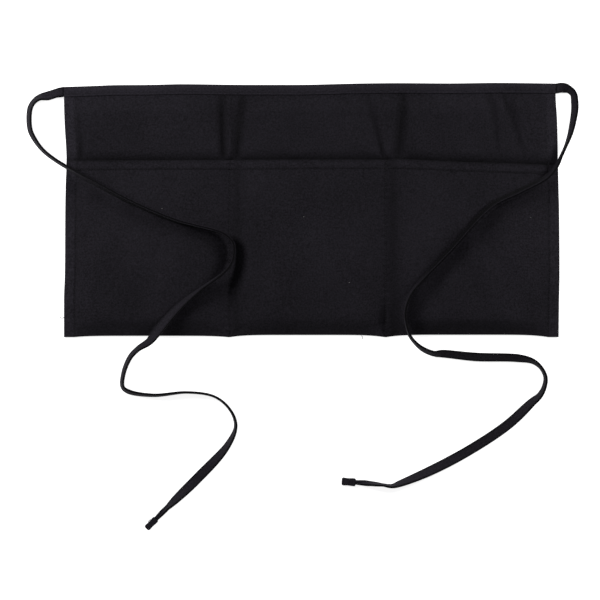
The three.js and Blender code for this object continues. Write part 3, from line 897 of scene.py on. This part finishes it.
def strip_piece(name, rings, material):
    """A closed strip: rings of corners, and a fan at each end about a middle corner."""
    columns, count = rings.shape[:2]
    faces = rings_of_faces(columns, count)
    first = columns * count
    last_ring = first - count
    for k in range(count):
        nxt = (k + 1) % count
        faces.append((first, k, nxt))
        faces.append((first + 1, last_ring + nxt, last_ring + k))
    ends = [rings[0].mean(axis=0), rings[-1].mean(axis=0)]
    return piece_from(name, np.vstack([rings.reshape(-1, 3), ends]), faces, material)


tape_twill = black_twill("tape_twill", near_black(0.003), near_black(0.0165), 0.8, "UV", sheen=0.03)


def make_tape(name, line):
    """One tie: lighter faces, painted shade on its fold and edges, and where it is open painted shade
    between its layers with a painted highlight on the fold's tips.
    """
    rings = tape_corners(line)
    made = strip_piece(name, rings, tape_twill)
    outline = np.array(tape_outline(tie_width, tie_thickness, 0, 0))
    steps = np.linalg.norm(np.roll(outline, -1, axis=0) - outline, axis=1)
    strip_uv(made, line["run"], np.concatenate([[0], np.cumsum(steps)]))
    # Lighter faces, with painted shade on the meeting edges and the fold
    face = [0.1, 0.7, 0.7, 0.7, 0.4, 0, 0.25]
    base_tone_and_painted_light = np.array(face + [-0.5] * 7 + face[::-1] + [-0.9] * 4)
    # Where the tie is open: painted shade between its layers, and a painted highlight on the fold's
    # tips
    opened = np.array([0.2] + [-0.85] * 6 + [-0.6] * 7 + [-0.85] * 6 + [0.2, 0.6, -1, -1, 0.6])
    inner = np.clip(3 * line["opening"], 0, 1)[:, None]
    values = base_tone_and_painted_light * (1 - inner) + opened * inner
    set_tone_and_painted_light(made, np.append(values.ravel(), [0, 0]))
    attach(made, "root")
    return made, rings


# Each tie ends in a small tab: the end is folded over on itself twice and sewn down.
tab_length = 0.016
tab_thickness = 0.0038
left_tab_width = 0.008
right_tab_width = 0.0096
tab_overlap = 0.0014


def make_tab(name, line, width, end_round):
    """Folded layers with soft rounded edges, and a notch between the layers along both sides."""
    start = line["centre"][-1]
    heading = np.array([*line["heading"][-1], 0])
    side = np.array([*line["sideways"][-1], 0])
    rings = []
    whole = tab_length + tab_overlap
    along = np.concatenate([[0, 0.0002, 0.0005, 0.001], np.linspace(0.0018, whole - 0.0018, 12)])
    along = np.concatenate([along, whole - np.array([0.001, 0.0005, 0.0002, 0])])
    turns = np.linspace(0, 2 * np.pi, 28, endpoint=False) + 0.02
    for s in along:
        from_end = min(s / 0.0012, (whole - s) / end_round, 1)
        full = math.sqrt(max(1 - (1 - from_end) ** 2, 0.02))
        half = width / 2 * (0.55 + 0.45 * full) + 0.0002 * math.sin(s / 0.0021)
        thin = tab_thickness / 2 * full
        ring = []
        for turn in turns:
            a = half * math.copysign(abs(math.cos(turn)) ** 0.35, math.cos(turn))
            b = thin * math.copysign(abs(math.sin(turn)) ** 0.5, math.sin(turn))
            notch = 0.0004 * sum(soft_bump(b - share * thin, 0.0003) for share in (0.35, -0.4))
            a = a - math.copysign(notch, a)
            lift = np.array([0, 0, b + tab_thickness / 2 - start[2]])
            ring.append(start + heading * (s - tab_overlap) + side * a + lift)
        rings.append(ring)
    made = strip_piece(name, np.array(rings), tape_twill)
    strip_uv(made, along, np.linspace(0, 2 * width, len(turns) + 1))
    set_tone_and_painted_light(made, np.full(len(made.data.vertices), 0.7))
    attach(made, "root")
    return made


left_line = tie_line(left_route, -1, left_open)
right_line = tie_line(right_route, 1, right_open)
left_tape, left_rings = make_tape("left_tape", left_line)
right_tape, right_rings = make_tape("right_tape", right_line)
left_tab = make_tab("left_tab", left_line, left_tab_width, 0.003)
right_tab = make_tab("right_tab", right_line, right_tab_width, 0.0016)
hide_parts("tie_left")
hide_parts("tie_right")
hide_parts("tie_end_left")
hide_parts("tie_end_right")

# The stitching. Black polyester thread holds the hems, seams, waistband and ties. One tree lays
# a stitch at every step along the rows it is given.
stitch_pitch = 0.0029
stitch_length = 0.0021
thread_thickness = 0.00042


def stitch_tree():
    tree = bpy.data.node_groups.new("rows_of_stitches", "GeometryNodeTree")
    for label, in_out, kind in (
        ("Rows", "INPUT", "Geometry"), ("Pitch", "INPUT", "Float"), ("Seed", "INPUT", "Int"),
        ("Stitches", "OUTPUT", "Geometry"),
    ):
        tree.interface.new_socket(label, in_out=in_out, socket_type="NodeSocket" + kind)
    nodes = tree.nodes
    given = nodes.new("NodeGroupInput")
    result = nodes.new("NodeGroupOutput")
    to_curve = nodes.new("GeometryNodeMeshToCurve")
    steps = nodes.new("GeometryNodeResampleCurve")
    steps.mode = "LENGTH"
    tangent = nodes.new("GeometryNodeInputTangent")
    aligned = nodes.new("FunctionNodeAlignRotationToVector")
    aligned.axis = "Z"
    bead = add_node(nodes, "GeometryNodeMeshUVSphere", {"Segments": 6, "Rings": 4, "Radius": 0.5})
    uneven = add_node(nodes, "FunctionNodeRandomValue", {"Min": 0.88, "Max": 1.1})
    longer = nodes.new("ShaderNodeMath")
    longer.operation = "MULTIPLY"
    longer.inputs[0].default_value = stitch_length
    size = add_node(nodes, "ShaderNodeCombineXYZ", {"X": thread_thickness, "Y": thread_thickness})
    placed = nodes.new("GeometryNodeInstanceOnPoints")
    real = nodes.new("GeometryNodeRealizeInstances")
    smooth = nodes.new("GeometryNodeSetShadeSmooth")
    finish = add_node(nodes, "GeometryNodeSetMaterial", {"Material": thread})
    for start, out, end, into in (
        (given, "Rows", to_curve, "Mesh"),
        (to_curve, "Curve", steps, "Curve"),
        (given, "Pitch", steps, "Length"),
        (steps, "Curve", placed, "Points"),
        (bead, "Mesh", placed, "Instance"),
        (tangent, "Tangent", aligned, "Vector"),
        (aligned, "Rotation", placed, "Rotation"),
        (given, "Seed", uneven, "Seed"),
        (uneven, 1, longer, 1),
        (longer, "Value", size, "Z"),
        (size, "Vector", placed, "Scale"),
        (placed, "Instances", real, "Geometry"),
        (real, "Geometry", smooth, "Geometry"),
        (smooth, "Geometry", finish, "Geometry"),
        (finish, "Geometry", result, "Stitches"),
    ):
        tree.links.new(start.outputs[out], end.inputs[into])
    return tree


def flecked(name, scale, first, second, roughness, specular=0.5):
    """A material whose colour wanders finely between two tones."""
    material = new_material(name, {"Roughness": roughness, "Specular IOR Level": specular})
    nodes = material.node_tree.nodes
    links = material.node_tree.links
    fine = add_node(nodes, "ShaderNodeTexNoise", {"Scale": scale})
    links.new(nodes.new("ShaderNodeTexCoord").outputs["Object"], fine.inputs["Vector"])
    colour = colour_between(nodes, links, fine.outputs["Fac"], first, second)
    links.new(colour, nodes["Principled BSDF"].inputs["Base Color"])
    return material


thread = flecked("black_thread", 1800, near_black(0.005), near_black(0.012), 0.6, 0.25)
stitch_nodes = stitch_tree()


def make_stitches(name, rows, seed):
    """Stitches along rows of places, as one plain mesh."""
    corners = [tuple(p) for row in rows for p in row]
    edges = []
    start = 0
    for row in rows:
        edges += [(start + k, start + k + 1) for k in range(len(row) - 1)]
        start += len(row)
    guide_mesh = bpy.data.meshes.new(name + "_rows")
    guide_mesh.from_pydata(corners, edges, [])
    guide = add_object(name + "_rows", guide_mesh)
    modifier = guide.modifiers.new("stitches", "NODES")
    modifier.node_group = stitch_nodes
    values = {"Pitch": stitch_pitch, "Seed": seed}
    for item in stitch_nodes.interface.items_tree:
        if item.in_out == "INPUT" and item.name in values:
            modifier[item.identifier] = values[item.name]
    shown = guide.evaluated_get(bpy.context.evaluated_depsgraph_get())
    mesh = bpy.data.meshes.new_from_object(shown)
    mesh.name = name
    made = add_object(name, mesh)
    bpy.data.objects.remove(guide)
    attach(made, "root")
    return made


# Steps along a row, how far a thread stands out of the cloth, and where rows start above the fold
# and end below the mouth
row_step = 0.002
thread_out = 0.2 * thread_thickness
seam_start = 0.0025
row_start = 0.003
row_end = 0.0008


def row_on(c, y, height):
    """Places of a row at c and y, at the given heights."""
    return np.column_stack([drawn_in(c, y), y, height])


def front_row(c, y):
    return row_on(c, y, front_surface(c, y) + thread_out)


def back_row(c, y):
    return row_on(c, y, back_top(c, y) + side_relief(c, y) + thread_out)


def under_row(c, y):
    return row_on(c, y, underside(c, y) - thread_out)


def upright(c, low, high):
    y = np.arange(low, high, row_step)
    return np.full(len(y), c), y


across = np.arange(-half_width + row_step, half_width - row_step, row_step)
cloth_rows = [front_row(across, mouth_line(across) - mouth_stitch)]
for place in seam_places:
    top = float(mouth_line(place))
    for offset, low in ((0, seam_start - half_height), (0.0015, top - mouth_stitch)):
        cloth_rows.append(front_row(*upright(place + offset, low, top - row_end)))
    bar = place + np.array([-0.0034, -0.0012, 0.0012, 0.0042])
    for drop in (0.0016, 0.0036):
        cloth_rows.append(front_row(bar, top - drop + 0 * bar))
    cloth_rows.append(under_row(*upright(place, row_start - half_height, top)))
for side in (-1, 1):
    place = side * (half_width - side_stitch)
    top = float(mouth_line(place))
    head = float(band_bottom(place))
    cloth_rows.append(front_row(*upright(place, row_start - half_height, top - row_end)))
    cloth_rows.append(back_row(*upright(place, top + 0.0015, head)))
    cloth_rows.append(under_row(*upright(place, row_start - half_height, head)))
cloth_stitches = make_stitches("cloth_stitches", cloth_rows, 3)

across = np.arange(-half_width + row_step / 2, half_width, row_step)
row_y = band_bottom(across) + band_stitch
band_rows = [
    row_on(across, row_y, band_top(across) + 0.3 * band_waves(across) - 0.0001),
    row_on(across, row_y, np.full(len(across), 0.0001)),
]
band_stitches = make_stitches("band_stitches", band_rows, 5)


def make_tape_stitches(name, rings, seed):
    rows = [rings[1:-2, corner] for corner in (stitch_corner, under_stitch_corner)]
    return make_stitches(name, rows, seed)


left_stitches = make_tape_stitches("left_tape_stitches", left_rings, 7)
right_stitches = make_tape_stitches("right_tape_stitches", right_rings, 11)

# Loose ends of thread at the left side, the fold and the left tab, and four specks of pale lint on
# the pockets: the place of each in x and y, its step from there, and its radius
tail_radius = 0.00034
lint_radius = 0.0003
loose_ends = [
    ("tail_side", (-0.3045, -0.1318), (-0.0070, 0.0012), tail_radius),
    ("tail_fold", (0.0606, -0.1545), (0.0012, -0.0048), tail_radius),
    ("tail_tab", (-0.2010, -0.3850), (0.0030, 0.0042), tail_radius),
    ("lint_a", (-0.1841, 0.0009), (0.0009, 0.0004), lint_radius),
    ("lint_b", (-0.0100, -0.0090), (0.0005, 0.0007), lint_radius),
    ("lint_c", (0.0454, -0.0894), (0.0010, -0.0003), lint_radius),
    ("lint_d", (0.2687, -0.0098), (0.0006, 0.0006), 0.00026),
]
lint = flecked("pale_lint", 2500, (0.12, 0.12, 0.12, 1), (0.32, 0.31, 0.30, 1), 0.95)


def fibre(name, place, step, radius, material):
    """A short bent thread that lies on what is under it."""
    along = np.linspace(0, 1, 9)
    x = place[0] + step[0] * along - 0.25 * step[1] * np.sin(np.pi * along)
    y = place[1] + step[1] * along + 0.25 * step[0] * np.sin(np.pi * along)
    middle = np.column_stack([x, y, resting_height(x, y) + radius])
    heading = np.gradient(middle[:, :2], axis=0)
    heading /= np.linalg.norm(heading, axis=1)[:, None]
    side = np.column_stack([-heading[:, 1], heading[:, 0], 0 * x])
    turns = np.linspace(0, 2 * np.pi, 6, endpoint=False)
    size = radius * np.sqrt(np.clip(1 - (2 * along - 1) ** 8, 0.1, 1))
    up = np.array([0, 0, 1])
    rings = np.array([
        [middle[i] + size[i] * (math.cos(turn) * side[i] + math.sin(turn) * up) for turn in turns]
        for i in range(len(along))
    ])
    made = strip_piece(name, rings, material)
    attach(made, "root")
    return made


for name, place, step, radius in loose_ends:
    made = fibre(name, place, step, radius, lint if name.startswith("lint") else thread)

for tape, line, side, pieces in (
    (left_tape, left_line, -1, [left_tab, left_stitches]),
    (right_tape, right_line, 1, [right_tab, right_stitches]),
):
    [float(v) for v in tie_exit(side)]

# The picture: a long lens straight above the apron, a white floor, and wide soft lamps.
# The apron's two side edges and its top edge stand at these pixels of the 600 pixel picture.
picture_width = 600
left_edge_pixel = 64.05
right_edge_pixel = 559.6
top_edge_pixel = 82.9
camera_height = 3.6
sensor_width = 36.0

metres_per_pixel = apron_width / (right_edge_pixel - left_edge_pixel)
camera_data = bpy.data.cameras.new("camera_above")
camera_data.sensor_width = sensor_width
camera_data.lens = sensor_width * camera_height / (picture_width * metres_per_pixel)
camera = add_object("camera_above", camera_data)
camera.location = (
    (picture_width / 2 - left_edge_pixel) * metres_per_pixel - half_width,
    half_height - (picture_width / 2 - top_edge_pixel) * metres_per_pixel,
    camera_height,
)
scene = bpy.context.scene
scene.camera = camera
scene.view_settings.view_transform = "Standard"

# The floor glows a little, and the room is dim
floor_half = 9
floor_drop = 0.0004
pale = new_material("pale_floor", {
    "Base Color": (0.9, 0.9, 0.9, 1), "Specular IOR Level": 0.1,
    "Emission Color": (1, 1, 1, 1), "Emission Strength": 0.85,
})
floor_mesh = bpy.data.meshes.new("floor")
signs = ((-1, -1), (1, -1), (1, 1), (-1, 1))
floor_mesh.from_pydata([(floor_half * x, floor_half * y, 0) for x, y in signs], [], [(0, 1, 2, 3)])
floor_mesh.materials.append(pale)
floor = add_object("floor", floor_mesh)
floor.location.z = -floor_drop

world = bpy.data.worlds.new("pale_room")
world.use_nodes = True
set_inputs(world.node_tree.nodes["Background"], {"Color": (1, 1, 1, 1), "Strength": 0.12})
scene.world = world

# Wide soft lamps: the turn and height at which each one stands in degrees, how far from the
# middle of the apron, how wide and how strong
lamps = [
    ("lamp_left", 157, 35, 1.4, 0.55, 13.8),
    ("lamp_right", 24, 28, 1.5, 0.55, 13.6),
]
for name, turn, height, away, size, power in lamps:
    light = bpy.data.lights.new(name, "AREA")
    light.shape = "DISK"
    light.size = size
    light.energy = power
    turn = math.radians(turn)
    height = math.radians(height)
    level = math.cos(height)
    towards = Vector((math.cos(turn) * level, math.sin(turn) * level, math.sin(height)))
    placed = add_object(name, light)
    placed.location = away * towards
    placed.rotation_euler = towards.to_track_quat("Z", "Y").to_euler()
